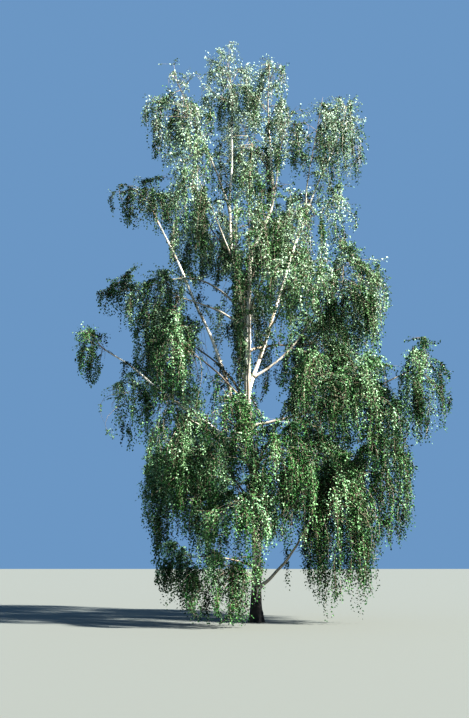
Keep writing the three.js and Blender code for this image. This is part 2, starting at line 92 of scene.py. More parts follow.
# Masses of foliage: centre, and half of the width, depth and height.
FULLNESS = 1.08
MASSES = {
    "top_centre": ((-0.75, 0.50, 14.73), (0.80, 0.86, 1.34)),
    "top_right": ((0.44, -0.30, 14.06), (0.63, 0.76, 1.38)),
    "top_left": ((-2.10, -0.50, 13.60), (0.92, 0.85, 1.36)),
    "top_back": ((-0.25, 1.50, 13.00), (0.85, 0.90, 1.45)),
    "right_shoulder": ((1.00, -0.70, 12.53), (0.64, 0.75, 1.28)),
    "right_top": ((1.87, -0.20, 12.95), (0.60, 0.76, 1.57)),
    "right_top_outer": ((2.62, 0.50, 13.20), (0.58, 0.76, 1.40)),
    "right_hanging": ((2.24, 0.40, 10.82), (0.58, 0.80, 1.16)),
    "left_upper": ((-1.66, -1.00, 10.79), (0.71, 0.80, 1.99)),
    "left_second": ((-3.08, 0.50, 11.33), (0.86, 0.95, 0.86)),
    "left_back_upper": ((-1.43, 1.92, 10.48), (0.97, 1.00, 1.59)),
    "right_back_upper": ((0.85, 2.00, 10.30), (0.85, 0.95, 1.50)),
    "centre_upper": ((-0.14, -1.90, 9.33), (0.50, 0.80, 2.62)),
    "right_upper": ((0.96, -1.10, 9.57), (0.80, 0.90, 1.48)),
    "left_third_inner": ((-2.46, -0.40, 7.94), (0.83, 0.95, 1.49)),
    "left_third_outer": ((-3.58, 0.30, 8.57), (0.63, 0.85, 0.79)),
    "far_left": ((-4.36, 0.30, 6.99), (0.44, 0.75, 0.85)),
    "left_back_middle": ((-2.35, 2.30, 7.40), (1.15, 1.15, 1.65)),
    "back_centre": ((-0.30, 1.50, 7.70), (0.74, 0.90, 2.23)),
    "left_centre": ((-1.98, -1.90, 6.25), (0.60, 0.85, 1.48)),
    "right_middle_inner": ((0.99, -2.00, 7.85), (0.87, 0.90, 1.25)),
    "right_middle_outer": ((2.63, 0.20, 8.45), (0.99, 1.05, 1.71)),
    "right_back_middle": ((2.05, 2.50, 7.00), (1.20, 1.15, 1.75)),
    "far_right": ((4.39, -0.30, 5.93), (0.68, 0.90, 1.43)),
    "left_curtain_outer": ((-3.30, -0.30, 5.48), (0.64, 0.85, 1.10)),
    "left_curtain_inner": ((-2.21, -0.70, 4.68), (0.76, 0.85, 1.70)),
    "front_centre": ((-0.65, -2.70, 4.41), (0.72, 0.85, 1.34)),
    "right_low_inner": ((1.40, -1.70, 5.39), (0.82, 0.90, 1.48)),
    "right_low_outer": ((2.88, -0.70, 5.27), (0.98, 1.00, 1.66)),
    "front_right_low": ((0.62, -2.60, 3.36), (0.74, 0.85, 1.63)),
    "left_back_low": ((-1.90, 2.30, 4.30), (1.20, 1.15, 1.55)),
    "right_back_low": ((1.90, 2.40, 3.70), (1.20, 1.15, 1.60)),
    "right_skirt": ((3.32, 0.50, 3.56), (0.82, 0.95, 1.68)),
    "right_bottom": ((2.11, -0.70, 2.32), (0.98, 0.95, 2.08)),
    "front_low": ((-0.44, -2.90, 2.50), (0.92, 0.85, 1.00)),
    "left_low": ((-1.81, -0.10, 2.95), (1.05, 1.00, 1.48)),
    "left_foot": ((-1.91, -0.90, 1.32), (0.60, 0.75, 0.90)),
    "front_foot": ((-0.82, -2.00, 0.96), (0.95, 0.85, 0.90)),
}

# Limbs: name, what each leaves, at which height, the mass it enters, its radius there and its bow.
# A limb that has no name of its own belongs to its mass.
LIMBS = [
    ("left_leader", "trunk", 7.2, "top_centre", 0.062, -0.30),
    ("right_leader", "trunk", 5.8, "right_top_outer", 0.050, 0.10),
    ("left_stem", "trunk", 3.06, "left_second", 0.058, 0.33),
    ("second_stem", "trunk", 4.9, "centre_upper", 0.042, -0.06),
    ("top_left_bough", "left_leader", 11.0, "top_left", 0.030, 0.06),
    ("right_fork", "trunk", 10.8, "right_shoulder", 0.030, -0.06),
    ("right_top_bough", "right_leader", 10.9, "right_top", 0.028, 0.06),
    ("right_hanging_bough", "right_leader", 10.3, "right_hanging", 0.028, 0.08),
    ("left_upper_bough", "left_leader", 9.3, "left_upper", 0.032, 0.06),
    ("left_middle_bough", "left_leader", 7.6, "left_third_inner", 0.036, 0.12),
    ("left_outer_bough", "left_leader", 7.9, "left_third_outer", 0.030, 0.70),
    ("long_left_bough", "left_stem", 4.2, "far_left", 0.046, 0.04),
    ("curtain_bough", "long_left_bough", 5.2, "left_curtain_outer", 0.026, 0.15),
    ("left_inner_bough", "left_stem", 3.9, "left_curtain_inner", 0.034, 0.12),
    ("middle_bough", "right_leader", 6.3, "right_middle_outer", 0.036, -0.25),
    ("right_front_bough", "right_leader", 6.8, "right_middle_inner", 0.036, 0.09),
    ("long_right_bough", "trunk", 5.0, "far_right", 0.042, -0.15),
    ("right_low_bough", "trunk", 3.9, "right_low_outer", 0.040, 0.09),
    ("right_skirt_bough", "trunk", 1.9, "right_skirt", 0.042, 0.32),
    ("lowest_right_bough", "trunk", 0.8, "right_bottom", 0.044, -0.16),
    ("left_low_bough", "trunk", 2.6, "left_low", 0.032, 0.09),
    (None, "trunk", 11.7, "top_back", 0.026, 0.06),
    (None, "trunk", 8.6, "left_back_upper", 0.032, 0.09),
    (None, "trunk", 8.9, "right_back_upper", 0.030, 0.09),
    (None, "trunk", 7.9, "right_upper", 0.030, 0.06),
    (None, "trunk", 6.6, "back_centre", 0.032, 0.12),
    (None, "trunk", 5.6, "left_back_middle", 0.036, 0.15),
    (None, "trunk", 7.0, "right_back_middle", 0.036, 0.06),
    (None, "trunk", 5.5, "left_centre", 0.032, 0.12),
    (None, "trunk", 3.7, "right_low_inner", 0.032, 0.12),
    (None, "trunk", 3.2, "front_centre", 0.030, 0.12),
    (None, "trunk", 2.9, "front_right_low", 0.030, 0.15),
    (None, "trunk", 2.7, "left_back_low", 0.034, 0.18),
    (None, "trunk", 2.3, "right_back_low", 0.034, 0.18),
    (None, "trunk", 1.7, "front_low", 0.028, 0.12),
    (None, "trunk", 1.3, "left_foot", 0.026, 0.12),
    (None, "trunk", 0.9, "front_foot", 0.028, 0.12),
]
ENTRY_DEPTH = 0.74
ENTRY_LIFT = 0.45

# Tiers of the crown: each holds the masses whose middle lies above its height.
TIERS = {"top": 12.0, "upper": 7.6, "middle": 4.5, "low": 0.0}

# Openings: where sky shows between the masses, and where wood shows in front of them. Each is an ellipse
# that was read off the photograph in pixels: its middle, its half width and half height, and the share of
# leaves left out.
PHOTO_MIDDLE = (234.5, 359.0)
FOCAL_PIXELS = 997.0
OPENING_DECIMALS = 2
OPENINGS = {
    "right_notch": ((311, 120), (8, 15), 0.90),
    "right_notch_top": ((296, 94), (9, 18.2), 0.95),
    "right_tufts_inner": ((335, 86), (4, 11), 0.75),
    "right_tufts_gap": ((341, 104), (8, 11), 0.50),
    "top_left_notch": ((199, 82), (5, 20), 0.80),
    "top_left_shoulder": ((190, 90), (5, 11), 0.50),
    "top_left_tuft": ((181, 74), (27, 17), 0.75),
    "top_centre_tuft": ((228, 50), (22, 12), 0.72),
    "top_right_tuft": ((283, 78), (15, 20), 0.50),
    "left_shoulder_edge": ((146, 140), (8, 14), 0.90),
    "left_leader_side": ((207, 163), (8, 14), 0.55),
    "left_leader_high": ((208, 172), (10, 15), 0.75),
    "left_leader_low": ((214, 210), (10, 26), 0.60),
    "crown_right": ((288, 181), (12, 15), 0.85),
    "crown_middle": ((258, 143), (4, 9), 0.60),
    "crown_middle_low": ((233, 237), (4, 24), 0.30),
    "right_leader": ((322, 200), (20, 22), 0.50),
    "right_leader_inner": ((300, 225), (7, 25), 0.45),
    "right_leader_low": ((312, 235), (6, 28), 0.80),
    "right_hanging_outer": ((347, 198), (9, 20), 0.75),
    "right_top_edge": ((361, 152), (6, 20), 0.60),
    "left_second_top": ((124, 189), (15, 10), 0.35),
    "left_third_edge": ((104, 312), (9, 15.2), 0.55),
    "far_left_inner": ((109, 345), (9, 26), 0.75),
    "left_third": ((183, 294), (10, 22), 0.72),
    "left_stem_high": ((206, 303), (10, 26), 0.75),
    "left_stem": ((215, 370), (13, 52), 0.78),
    "left_stem_outer": ((204, 360), (10, 32), 0.92),
    "left_of_stem": ((191, 366), (7, 10), 0.50),
    "left_of_trunk_high": ((227, 297), (6, 24), 0.80),
    "left_of_trunk": ((230, 350), (7, 28), 0.25),
    "right_of_trunk": ((254, 330), (4, 42), 0.80),
    "right_of_leader": ((280, 290), (6, 24), 0.25),
    "right_window_high": ((273, 330), (13, 16), 0.65),
    "right_window_outer": ((281, 338), (9, 22), 0.70),
    "right_window": ((272, 362), (8, 18), 0.35),
    "right_window_low": ((269, 398), (12, 22), 0.20),
    "left_curtain_top": ((122, 370), (10, 12), 0.55),
    "left_curtain_high": ((142, 355), (4, 12), 0.60),
    "left_curtain_inner": ((170, 352), (3, 14), 0.60),
    "left_curtain_end": ((103, 387), (8, 16), 0.90),
    "left_curtain_edge": ((107, 402), (9, 26.2), 0.85),
    "left_curtain_middle": ((156, 410), (10, 14), 0.50),
    "left_curtain_low": ((160, 424), (15, 21.2), 0.82),
    "left_curtain_outer": ((136, 427), (12, 15), 0.45),
    "lowest_bough": ((283, 562), (13, 13), 0.85),
}

# Two more openings, placed over X and Z in metres.
OPENINGS_IN_METRES = {
    "top_left_outer": ((-3.00, 15.20), (0.42, 0.60), 0.90),
    "left_leader_strip": ((-0.80, 11.90), (0.11, 1.10), 0.60),
}

# Wood that shows: from and to which height, how wide the leaves part in front of it, and the share of
# them left out.
SHOWN_WOOD = {
    "trunk": (6.0, 10.9, 0.15, 0.50),
    "left_leader": (9.6, 12.6, 0.09, 0.45),
    "right_leader": (7.0, 11.8, 0.10, 0.35),
    "left_stem": (5.6, 9.6, 0.10, 0.45),
    "long_left_bough": (4.0, 7.0, 0.10, 0.35),
    "long_right_bough": (5.0, 6.2, 0.10, 0.30),
}
SHOWN_WOOD_SAMPLES = 30
FAR_ASIDE = 99.0

# Stems and branchlets: a stem rises through its mass, and branchlets arch from it over the mass's shoulder.
STEM_TOP = 0.72
STEM_LEAN_OUT = 0.15
STEM_TURN = 0.45
STEM_START_STEPS = 2
STEM_TIP_RADIUS = 0.006
STEM_RINGS = 14
STEM_SIDES = 6
CLUMPS_PER_CUBIC_METRE = 2.35
FEWEST_CLUMPS = 6
MASS_TURN = 1.3
BRANCHLETS_IN_CLUMP = 2
CLUMP_SPREAD = math.radians(14)
CLUMP_TURN = 0.25
NEAR_POLE = 0.3
CLUMP_DEPTHS = (0.84, 1.05)
SPREAD = 1.03
BRANCHLET_SPAN = (0.08, 0.97)
BRANCHLET_SHOULDERS = (math.radians(3), math.radians(108))
BRANCHLET_DEPTHS = (0.40, 0.98)
BRANCHLET_DEPTH_POWER = 0.6
BRANCHLET_HANG = (math.radians(18), math.radians(48))
UPRIGHT_SHARE = 0.24
UPRIGHT_EASE = 0.35
UPRIGHT_DEPTHS = (0.72, 1.08)
UPRIGHT_HANG = 0.22
UPRIGHT_BOW = 0.12
UPRIGHT_DROP = (-0.25, 0.30)
BRANCHLET_RADIUS = 0.008
BRANCHLET_TIP_RADIUS = 0.0025
BRANCHLET_RINGS = 7
BRANCHLET_SIDES = 3

# Wisps: short side twigs along the limbs themselves, with shoots of their own.
WISPS_PER_METRE = 1.3
FULLER_LIMBS = {"trunk": 1.8, "long_right_bough": 3.0, "right_leader": 1.5}
WISP_SPAN = (0.30, 0.98)
WISP_REACH = (0.25, 0.70)
WISP_RISE = (0.05, 0.35)
WISP_HALF = np.array((0.60, 0.60, 1.10))
WISP_DROP = 0.30

# Shoots: in tresses of a few, each out over its own small arch and then down. Some tresses spread instead,
# as sprays, and more of them do near the top of a mass.
TRESSES = 5
SHOOTS_IN_TRESS = 4
SHOOTS_ON_BRANCHLET = TRESSES * SHOOTS_IN_TRESS
SHOOTS_IN_CLUMP = BRANCHLETS_IN_CLUMP * SHOOTS_ON_BRANCHLET
TRESS_SPAN = (0.22, 1.0)
TRESS_SHIFT = 0.08
SHOOT_SHIFT = 0.07
SHOOT_LEAN = (0.05, 0.40)
SHOOT_DROP = (0.45, 1.80)
OWN_LEAN = (0.4, 1.5)
OWN_DROP = (0.5, 1.25)
OWN_TURN = 0.6
SPRAY_SHARES = (0.30, 0.75)
SPRAYS_BY_HEIGHT = (0.45, 1.10)
CROWN_TOP = 16.0
SPRAY_LEAN = (0.14, 0.46)
SPRAY_DROP = (-0.20, 0.30)
SPRAY_TURN = 1.1
FARTHEST_REACH = 1.03
LEAST_REACH_KEPT = 0.15
LEAST_LEAN_KEPT = 0.3
LEAST_DIVISOR = 0.01
SHOOT_LEAST_LENGTH = 0.10
SHOOT_PROBES = np.linspace(0.05, 1, 8)
ROOM_USED = (0.42, 1.32)
ROOM_OF_SHOOT = (0.80, 1.06)
SKIRT_POWER = 1.6
SHOOT_TURN = 1.3
ARCH_POWER = 2.2
HANG_POWER = 1.35
SHOOT_RADIUS = 0.0032
SHOOT_TIP_RADIUS = 0.0012
SHOOT_RINGS = 3
SHOOT_SIDES = 3

# Leaves: real ones are three to six centimetres long.
LEAF_SPACING = 0.038
FEWEST_LEAVES = 2
LEAF_SHIFT = 0.4
LEAF_TURN = 0.7
LEAF_LENGTH = (0.043, 0.068)
LEAF_WIDTH = 0.82
LEAF_FOLD = 0.16
LEAF_DROOP = 0.75
LEAF_SPREAD = 0.80
LEAF_WANDER = 0.40
LEAF_FACE_UP = 0.8
LEAF_ROLL_WANDER = 0.6
LEAF_STALK = (0.008, 0.050)
SPUR_LEAVES = 30
SPUR_SPAN = (0.2, 1.0)
SPUR_LIFT = 0.1

# Clearances. The crown keeps to the solids' box and a little more.
LIMB_CLEARANCE = 0.02
LIMB_BOX_MARGIN = 0.3
LIMB_STRIDE = 3
GROUND_CLEARANCE = 0.03
SHOOT_CLEARANCE = 0.05
BEYOND_SOLIDS = 0.029

# Tones of the leaves: a lower tone is a deeper green. They differ at random by clump, tress and shoot. By
# mass they are
# painted shade and painted light: some masses darker as if in shade, some paler as if in light. They rise
# with the height in a mass and in the crown, which is painted light on the tops and painted shade lower
# down. The edges part them into the greens.
CLUMP_TONE = 0.6
TRESS_TONE = 1.05
SHOOT_TONE = 0.25
YOUNG_LEAF_TONE = 0.6
# Painted light and shade within a mass: leaves paler towards its top and darker towards its bottom.
PAINTED_LIGHT_UP_A_MASS = 0.9
# Painted shade and light by mass: lower values darken whole masses as if shaded, higher ones make masses
# paler as if lit.
PAINTED_MASS_SHADES = {
    -1.2: ("left_second", "right_shoulder"),
    -0.7: ("left_centre", "left_third_outer", "right_hanging", "right_top", "right_top_outer"),
    0.7: ("left_curtain_outer", "front_low", "front_foot"),
    1.3: ("left_low", "left_curtain_inner", "left_back_low", "left_foot"),
}
# Painted light by height: leaves paler higher in the crown and darker lower down.
PAINTED_LIGHT_BY_HEIGHT = 0.20
TONE_MIDDLE = 8.0
TONE_EDGES = (-1.1, -0.35, 0.35, 1.15)

# Tubes of bark: sides, spacing of the rings, and how much closer the trunk's rings stand at its foot.
TRUNK_SIDES = 40
LEADER_SIDES = 20
BOUGH_SIDES = 14
TRUNK_RING_SPACING = 0.036
LIMB_RING_SPACING = 0.06
FEWEST_RINGS = 8
TRUNK_RING_POWER = 1.25
LEVEL_LIMIT = 0.9

# Relief of the bark: height of each noise, its step along the limb and its knots round it. The height of a
# wave is a share of the limb's radius.
SKIN_WAVES = ((0.045, 0.45, 4), (0.030, 0.13, 7))
GRAIN_HEIGHT = 0.0006
GRAIN_STEP = 0.045
GRAIN_KNOTS = 3
FURROW_HEIGHT = 0.010
FURROW_STEP = 0.16
FURROW_KNOTS = 17
FURROW_FADE = 0.7
COLLAR_SWELL = 0.55
COLLAR_LENGTH = 2.2
SPARE_ROWS = 3

LIMB_SEED = 1000
MASS_SEED = 1000
MASS_SEED_STEP = 77
BARK_SEED = 2000
GOLDEN_ANGLE = math.pi * (3 - math.sqrt(5))
RIGHT = np.array((1.0, 0.0, 0.0))
BACK = np.array((0.0, 1.0, 0.0))
UP = np.array((0.0, 0.0, 1.0))


def unit(vectors):
    return vectors / np.linalg.norm(vectors, axis=-1, keepdims=True)


def lerp(low_high, part):
    low, high = low_high
    return low + (high - low) * part


# Curves.
def smooth_through(stations, steps):
    """Smooth curve through the stations, with that many points to each span."""
    stations = np.array(stations)
    first, last = 2 * stations[0] - stations[1], 2 * stations[-1] - stations[-2]
    padded = np.vstack([first, stations, last])
    part = np.linspace(0, 1, steps, endpoint=False)[:, None]
    spans = []
    for before, start, end, after in zip(padded, padded[1:], padded[2:], padded[3:]):
        leave, arrive = (end - before) / 2, (after - start) / 2
        square = 3 * (end - start) - 2 * leave - arrive
        cube = 2 * (start - end) + leave + arrive
        spans.append(start + leave * part + square * part**2 + cube * part**3)
    return np.vstack([*spans, stations[-1:]])


def at_height(path, heights):
    """Points of a rising path at some heights."""
    return np.stack([np.interp(heights, path[:, 2], path[:, axis]) for axis in range(3)], axis=-1)


def arc(start, turn, end, part):
    """Points of quadratic curves; part has one more axis than the curves' ends."""
    return (1 - part) ** 2 * start + 2 * part * (1 - part) * turn + part**2 * end


def bowed(start, end, bow, steps):
    chord = unit(end - start)
    above = unit(UP - chord[2] * chord)
    middle = (start + end) / 2 + above * 2 * bow
    return arc(start, middle, end, np.linspace(0, 1, steps)[:, None])


# Noise on a tube's skin: smooth between the knots of a grid that closes on itself round the tube.
def skin_noise(rng, along, around, step, knots):
    rows = int(along.max() / step) + SPARE_ROWS
    grid = rng.random((rows, knots))
    row = along / step
    column = around / (2 * math.pi) * knots
    row_base, column_base = np.floor(row).astype(int), np.floor(column).astype(int)
    row_part, column_part = smoothed(row - row_base), smoothed(column - column_base)
    left, right = column_base % knots, (column_base + 1) % knots
    lower = grid[row_base, left] * (1 - column_part) + grid[row_base, right] * column_part
    upper = grid[row_base + 1, left] * (1 - column_part) + grid[row_base + 1, right] * column_part
    return 2 * (lower * (1 - row_part) + upper * row_part) - 1


def smoothed(part):
    return part * part * (3 - 2 * part)


# Tubes.
def ring_frames(paths):
    """Across and side directions at each ring of a batch of paths, carried along without twist."""
    along = unit(np.gradient(paths, axis=1))
    flat = np.abs(along[:, 0, 2]) < LEVEL_LIMIT
    across = np.where(flat[:, None], UP, RIGHT)
    frames = []
    for ring in range(paths.shape[1]):
        direction = along[:, ring]
        across = unit(across - (across * direction).sum(axis=1, keepdims=True) * direction)
        frames.append((across, np.cross(direction, across)))
    return np.stack([a for a, _ in frames], axis=1), np.stack([s for _, s in frames], axis=1)


def tubes(paths, radii, sides):
    """Closed tubes that end in a point: vertices and triangles of the whole batch."""
    count, rings, _ = paths.shape
    across, side = ring_frames(paths)
    turn = np.arange(sides) * 2 * math.pi / sides
    ring_radii = np.broadcast_to(radii, (count, rings))[:, :-1, None, None]
    rim = across[:, :-1, None] * np.cos(turn)[:, None] + side[:, :-1, None] * np.sin(turn)[:, None]
    walls = paths[:, :-1, None] + rim * ring_radii
    vertices = np.concatenate([walls.reshape(count, -1, 3), paths[:, -1:]], axis=1)
    faces = tube_faces(rings - 1, sides)
    offsets = np.arange(count)[:, None, None] * vertices.shape[1]
    return vertices.reshape(-1, 3), (faces[None] + offsets).reshape(-1, 3)


def tube_faces(rings, sides):
    """Triangles of one tube: rings of vertices, then the point that closes its tip."""
    faces = [(0, index + 1, index) for index in range(1, sides - 1)]
    for ring in range(rings - 1):
        for index in range(sides):
            after = (index + 1) % sides
            low, low_after = ring * sides + index, ring * sides + after
            faces.append((low, low_after, low_after + sides))
            faces.append((low, low_after + sides, low + sides))
    last, tip = (rings - 1) * sides, rings * sides
    faces += [(last + index, last + (index + 1) % sides, tip) for index in range(sides)]
    return np.array(faces)


# Limbs.
class Limb:
    """A limb's axis and radius from its start, on the axis of what carries it, to its tip."""

    def __init__(self, name, mass, path, radii, start_radius):
        self.name = name
        self.mass = mass
        self.path = path
        self.radii = radii
        self.start_radius = start_radius

    @property
    def steps(self):
        return np.concatenate([[0], np.cumsum(np.linalg.norm(np.diff(self.path, axis=0), axis=1))])


def trunk_radius(height):
    left = 1 - height / TRUNK_STATIONS[-1][2]
    taper = TRUNK_TIP_RADIUS + (TRUNK_RADIUS - TRUNK_TIP_RADIUS) * np.maximum(left, 0) ** TRUNK_TAPER_POWER
    return taper + FOOT_SWELL * np.exp(-height / FOOT_SWELL_HEIGHT)


def mass_shape(name):
    centre, half = MASSES[name]
    return np.array(centre), np.array(half) * FULLNESS


def in_picture(points):
    """Where the camera's line of sight through each point meets the tree's middle plane, over X and Z."""
    away = points - CAMERA_PLACE
    reach = -CAMERA_PLACE[1] / away[..., 1:2]
    return np.array(CAMERA_PLACE)[[0, 2]] + away[..., [0, 2]] * reach


def from_photo(column, row):
    """Where a pixel's line of sight meets the tree's middle plane, over X and Z."""
    aside, above = (column - PHOTO_MIDDLE[0]) / FOCAL_PIXELS, (PHOTO_MIDDLE[1] - row) / FOCAL_PIXELS
    reach = -CAMERA_PLACE[1] / (math.cos(CAMERA_TILT) - above * math.sin(CAMERA_TILT))
    rise = reach * (math.sin(CAMERA_TILT) + above * math.cos(CAMERA_TILT))
    return CAMERA_PLACE[0] + aside * reach, CAMERA_PLACE[2] + rise


def in_metres(middle, half):
    """Middle and half size of an opening, over X and Z to the centimetre, from its pixels."""
    (column, row), (wide, high) = middle, half
    width = from_photo(column + wide, row)[0] - from_photo(column - wide, row)[0]
    height = from_photo(column, row - high)[1] - from_photo(column, row + high)[1]
    middle, half = from_photo(column, row), (width / 2, height / 2)
    return np.round(middle, OPENING_DECIMALS), np.round(half, OPENING_DECIMALS)


openings = [(*in_metres(middle, half), share) for middle, half, share in OPENINGS.values()]
openings += OPENINGS_IN_METRES.values()


def opened(points, luck):
    """True for each point that an opening leaves out; luck runs from 0 to 1 and is shared by a tress."""
    seen = in_picture(points)
    out = np.zeros(luck.shape, bool)
    for place, size, share in openings:
        out |= ((((seen - place) / size) ** 2).sum(axis=-1) < 1) & (luck < share)
    for name, (low, high, reach, share) in SHOWN_WOOD.items():
        path = at_height(limbs[name].path, np.linspace(low, high, SHOWN_WOOD_SAMPLES))
        line = in_picture(path)
        wood = np.interp(seen[..., 1], line[:, 1], line[:, 0], left=FAR_ASIDE, right=FAR_ASIDE)
        across = np.abs(seen[..., 0] - wood)
        before = points[..., 1] < np.interp(seen[..., 1], line[:, 1], path[:, 1])
        out |= (across < reach) & before & (luck < share)
    return out


def entry_of(mass, start):
    centre, half = mass_shape(mass)
    inward = unit((start - centre) / half)
    inward[2] += ENTRY_LIFT
    return centre + unit(inward) * ENTRY_DEPTH * half


trunk_axis = smooth_through(TRUNK_STATIONS, AXIS_STEPS)
trunk = Limb("trunk", "top_right", trunk_axis, trunk_radius(trunk_axis[:, 2]), 0.0)
limbs = {"trunk": trunk}
for number, (name, parent, height, mass, radius, bow) in enumerate(LIMBS):
    start = at_height(limbs[parent].path, height)
    path = bowed(start, entry_of(mass, start), bow, AXIS_STEPS)
    part = np.linspace(0, 1, AXIS_STEPS)
    rng = np.random.default_rng(LIMB_SEED - number)
    waves = sum(
        rng.normal(size=3) * np.sin(math.pi * wave * part[:, None]) / wave for wave in WANDER_WAVES
    )
    length = np.linalg.norm(path[-1] - path[0])
    path = path + waves * LIMB_WANDER * length
    parent_radius = np.interp(height, limbs[parent].path[:, 2], limbs[parent].radii)
    limbs[name or mass] = Limb(name, mass, path, lerp((radius, radius * LIMB_TAPER), part), parent_radius)


# Meshes of bark: fine rings with relief.
def bark_tube(limb, sides, spacing, rng):
    """Skin of one limb, closed at both ends."""
    steps = limb.steps
    rings = max(int(steps[-1] / spacing), FEWEST_RINGS)
    place = np.linspace(0, 1, rings) ** (TRUNK_RING_POWER if limb is trunk else 1) * steps[-1]
    path = np.stack([np.interp(place, steps, limb.path[:, axis]) for axis in range(3)], axis=-1)
    radii = np.interp(place, steps, limb.radii)
    if limb is trunk:
        radii = trunk_radius(path[:, 2])
    around = np.arange(sides) * 2 * math.pi / sides
    along, angle = np.meshgrid(place, around, indexing="ij")
    swell = bark_relief(limb, along, angle, radii[:, None], rng)
    if limb is trunk:
        across = np.broadcast_to(RIGHT, path.shape)
        side = np.broadcast_to(BACK, path.shape)
    else:
        across, side = (directions[0] for directions in ring_frames(path[None]))
    rim = across[:, None] * np.cos(around)[:, None] + side[:, None] * np.sin(around)[:, None]
    walls = path[:, None] + rim * (radii[:, None] + swell)[..., None]
    vertices = np.concatenate([walls.reshape(-1, 3), path[-1:]])
    return vertices, tube_faces(rings, sides)


def bark_relief(limb, along, angle, radii, rng):
    """How far the skin stands out of its plain radius."""
    swell = np.zeros(along.shape)
    for height, step, knots in SKIN_WAVES:
        swell += height * radii * skin_noise(rng, along, angle, step, knots)
    swell += GRAIN_HEIGHT * skin_noise(rng, along, angle, GRAIN_STEP, GRAIN_KNOTS)
    if limb is trunk:
        foot = np.exp(-along / FOOT_SWELL_HEIGHT)
        swell += radii * ROOT_LOBE_DEPTH * foot * np.cos(ROOT_LOBES * angle)
        ridge = 1 - 2 * np.abs(skin_noise(rng, along, angle, FURROW_STEP, FURROW_KNOTS))
        swell += FURROW_HEIGHT * np.exp(-along / FURROW_FADE) * ridge
        return swell
    beyond = np.maximum(along - limb.start_radius, 0)
    return swell + COLLAR_SWELL * radii * np.exp(-beyond / (COLLAR_LENGTH * radii))


# Branchlets and hanging shoots of a mass.
def stem_of(limb):
    centre, half = mass_shape(limb.mass)
    start = limb.path[-1]
    direction = unit(start - limb.path[-1 - STEM_START_STEPS])
    outward = (centre - start) * (1, 1, 0)
    top = centre + UP * STEM_TOP * half[2] + outward * STEM_LEAN_OUT
    turn = start + direction * np.linalg.norm(top - start) * STEM_TURN
    return start, turn, top


def on_skin(centre, half, polar, round_, depth):
    way = np.stack([np.sin(polar) * np.cos(round_), np.sin(polar) * np.sin(round_), np.cos(polar)], axis=-1)
    return centre + way * half * depth[:, None]


def branchlets_of(stem, centre, half, turn, rng):
    """Ends and turning points of branchlets, in clumps that arch over the mass's shoulder together."""
    clumps = max(int(CLUMPS_PER_CUBIC_METRE * 4 / 3 * math.pi * half.prod()), FEWEST_CLUMPS)
    count = clumps * BRANCHLETS_IN_CLUMP

    def by_clump(values):
        return np.repeat(values, BRANCHLETS_IN_CLUMP)

    share = by_clump((np.arange(clumps) + 0.5) / clumps)
    upright = upright_part(share)
    polar = np.arccos(lerp(tuple(map(math.cos, BRANCHLET_SHOULDERS)), share))
    polar = np.abs(polar + rng.normal(0, CLUMP_SPREAD, count))
    round_ = by_clump(np.arange(clumps) * GOLDEN_ANGLE + turn + rng.normal(0, CLUMP_TURN, clumps))
    round_ = round_ + rng.normal(0, CLUMP_SPREAD, count) / np.maximum(np.sin(polar), NEAR_POLE)
    depth = by_clump(lerp(BRANCHLET_DEPTHS, rng.random(clumps) ** BRANCHLET_DEPTH_POWER))
    depth = np.where(share < UPRIGHT_SHARE, by_clump(lerp(UPRIGHT_DEPTHS, rng.random(clumps))), depth)
    depth = depth * lerp(CLUMP_DEPTHS, rng.random(count))
    hang_angle = lerp(BRANCHLET_HANG, rng.random(count)) * lerp((1.0, UPRIGHT_HANG), upright)
    start = arc(*stem, lerp(BRANCHLET_SPAN, 1 - share)[:, None])
    shoulder = on_skin(centre, half, polar, round_, depth)
    end = on_skin(centre, half, polar + hang_angle, round_, depth)
    end[:, 2] = np.maximum(end[:, 2], SHOOT_CLEARANCE)
    middle = (start + end) / 2
    arched = 2 * shoulder - middle
    length = np.linalg.norm(end - start, axis=1, keepdims=True)
    return start, arched + (middle + UP * UPRIGHT_BOW * length - arched) * upright[:, None], end


def wisps_of(limb, rng):
    """Ends and turning points of the short twigs along a limb, and the middle of the space round each."""
    length = limb.steps[-1] * (WISP_SPAN[1] - WISP_SPAN[0])
    wanted = length * WISPS_PER_METRE * FULLER_LIMBS.get(limb.name, 1)
    count = BRANCHLETS_IN_CLUMP * max(round(wanted / BRANCHLETS_IN_CLUMP), 1)
    place = lerp(WISP_SPAN, rng.random(count)) * limb.steps[-1]
    start = np.stack([np.interp(place, limb.steps, limb.path[:, axis]) for axis in range(3)], axis=-1)
    round_ = rng.uniform(0, 2 * math.pi, count)
    away = np.stack([np.cos(round_), np.sin(round_), np.zeros(count)], axis=-1)
    away = away * lerp(WISP_REACH, rng.random((count, 1)))
    end = start + away + UP * rng.uniform(-WISP_RISE[0], WISP_RISE[0], (count, 1))
    turn = start + away / 2 + UP * lerp(WISP_RISE, rng.random((count, 1)))
    return (start, turn, end), start + away / 2 - UP * WISP_DROP


def upright_part(share):
    """1 for the topmost branchlets, which stand up, falling to 0 for those that arch over."""
    return smoothed(np.clip((UPRIGHT_SHARE - share) / UPRIGHT_SHARE + UPRIGHT_EASE, 0, 1))


def hang(shoots, part):
    """Points of hanging shoots: part runs from their roots to their tips."""
    out = shoots["lean"] * (1 - (1 - part) ** ARCH_POWER)
    away = np.stack([np.cos(shoots["azimuth"]) * out, np.sin(shoots["azimuth"]) * out], axis=-1)
    drop = -shoots["drop"] * part**HANG_POWER
    return shoots["root"] + np.concatenate([away, drop[..., None]], axis=-1)


def painted_mass_shade(name):
    return next((tone for tone, names in PAINTED_MASS_SHADES.items() if name in names), 0)


def picked(shoots, keep):
    return {key: values[keep] for key, values in shoots.items()}


def room_below(points, centre, half):
    """How far each point stands above the skirt of its mass."""
    flat = (((points[:, :2] - centre[..., :2]) / half[:2]) ** 2).sum(axis=1)
    rise = np.sqrt(np.clip(1 - flat**SKIRT_POWER, 0, None))
    return points[:, 2] - centre[..., 2] + rise * half[2]


